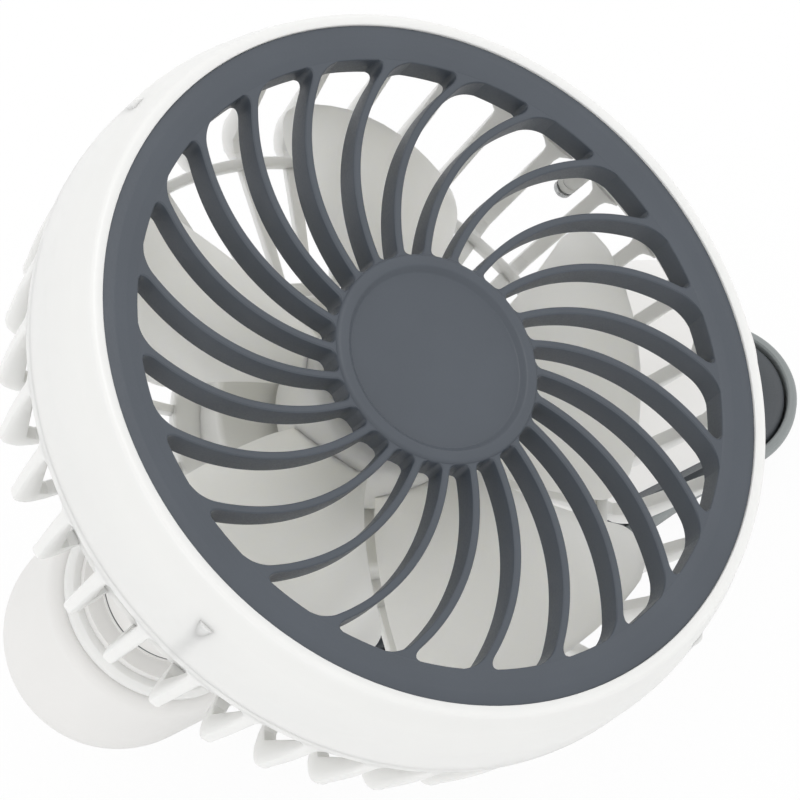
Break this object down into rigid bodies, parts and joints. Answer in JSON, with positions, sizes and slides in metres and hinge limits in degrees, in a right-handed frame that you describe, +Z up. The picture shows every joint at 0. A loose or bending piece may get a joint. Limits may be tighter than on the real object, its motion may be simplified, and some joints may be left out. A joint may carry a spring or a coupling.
{
  "type": "portable camping fan",
  "caption": "Rechargeable clip-on camping fan: a round guarded head on a tilting, swivelling neck and a turning knuckle, over a horizontal battery base with a sprung clip.",
  "frame": {"origin": "on the table plane, under the middle of the clip, between the rubber feet", "axes": "+X along the base from the knuckle to the clip's free end, +Z up, +Y to the left of +X"},
  "size_m": [0.1703, 0.1359, 0.1706],
  "materials": {
    "white_shell": "satin white moulded plastic",
    "slate_plastic": "fine satin slate grey plastic",
    "dark_plastic": "matt dark grey plastic",
    "rim_plastic": "satin mid grey plastic",
    "blade_plastic": "smooth warm white plastic",
    "rubber": "matt black rubber",
    "steel": "bright steel",
    "magnet": "dark grey magnets",
    "brass": "plain brass",
    "copper": "copper windings",
    "board": "green circuit board",
    "cell_wrap": "shrink sleeve over steel",
    "light_pipe": "clear plastic"
  },
  "bodies": {
    "base": {"upper_shell": "white_shell", "lower_shell": "dark_plastic", "bearing_plate": "white_shell", "battery_cells": "cell_wrap", "cell_strips": "steel", "cell_cradle": "dark_plastic", "main_board": "board", "usb_port": "steel", "charge_lights": "light_pipe", "button_switch": "dark_plastic", "case_screws": "steel", "clip_plate": "dark_plastic", "upper_pad": "rubber", "clip_screws": "steel"},
    "button": {"power_button": "slate_plastic"},
    "jaw": {"clip_jaw": "rim_plastic", "jaw_pad": "rubber", "foot_pads": "rubber", "jaw_pin": "steel", "jaw_spring": "steel"},
    "knuckle": {"knuckle_shell": "white_shell", "knuckle_plate": "white_shell", "roll_clip_ring": "steel", "knuckle_screws": "steel"},
    "neck": {"neck_stem": "white_shell", "neck_seam_ring": "dark_plastic", "swivel_collar": "white_shell", "neck_clip_ring": "steel", "tilt_pin": "steel", "tilt_nut": "steel", "tilt_washers": "rubber"},
    "head": {"front_grille": "slate_plastic", "bezel": "white_shell", "rear_cage": "white_shell", "motor_housing": "white_shell", "motor_can": "steel", "motor_magnets": "magnet", "motor_bushing": "brass", "motor_board": "board", "housing_screws": "steel", "cage_screws": "steel"},
    "rotor": {"impeller": "blade_plastic", "rotor_shaft": "steel", "armature": "copper", "shaft_nut": "steel"}
  },
  "joints": [
    {"name": "knuckle_roll", "type": "hinge", "parent": "base", "child": "knuckle", "pos_m": [-0.085, 0, 0.0385], "axis": [1, 0, 0], "range_deg": [-107.05, 72.95]},
    {"name": "neck_swivel", "type": "hinge", "parent": "knuckle", "child": "neck", "pos_m": [-0.085, 0, 0.0385], "axis": [0.3624, -0.2733, 0.891], "range_deg": [-99, 51]},
    {"name": "head_tilt", "type": "hinge", "parent": "neck", "child": "head", "pos_m": [-0.06833, -0.01257, 0.07949], "axis": [-0.3791, 0.8302, 0.4088], "range_deg": [-45, 10]},
    {"name": "rotor_spin", "type": "hinge", "parent": "head", "child": "rotor", "pos_m": [-0.03929, -0.01991, 0.12132], "axis": [0.3624, -0.2733, 0.891], "continuous": true},
    {"name": "jaw_hinge", "type": "hinge", "parent": "base", "child": "jaw", "pos_m": [-0.047, 0, 0.0066], "axis": [0, 1, 0], "range_deg": [0, 35], "stiffness_Nm_per_rad": 0.6, "springref_deg": -68.75, "deforming": ["jaw_spring"]},
    {"name": "button_press", "type": "slide", "parent": "base", "child": "button", "axis": [0, 0, -1], "range_m": [0, 0.0008], "stiffness_N_per_m": 1500, "springref_m": -0.0004}
  ]
}
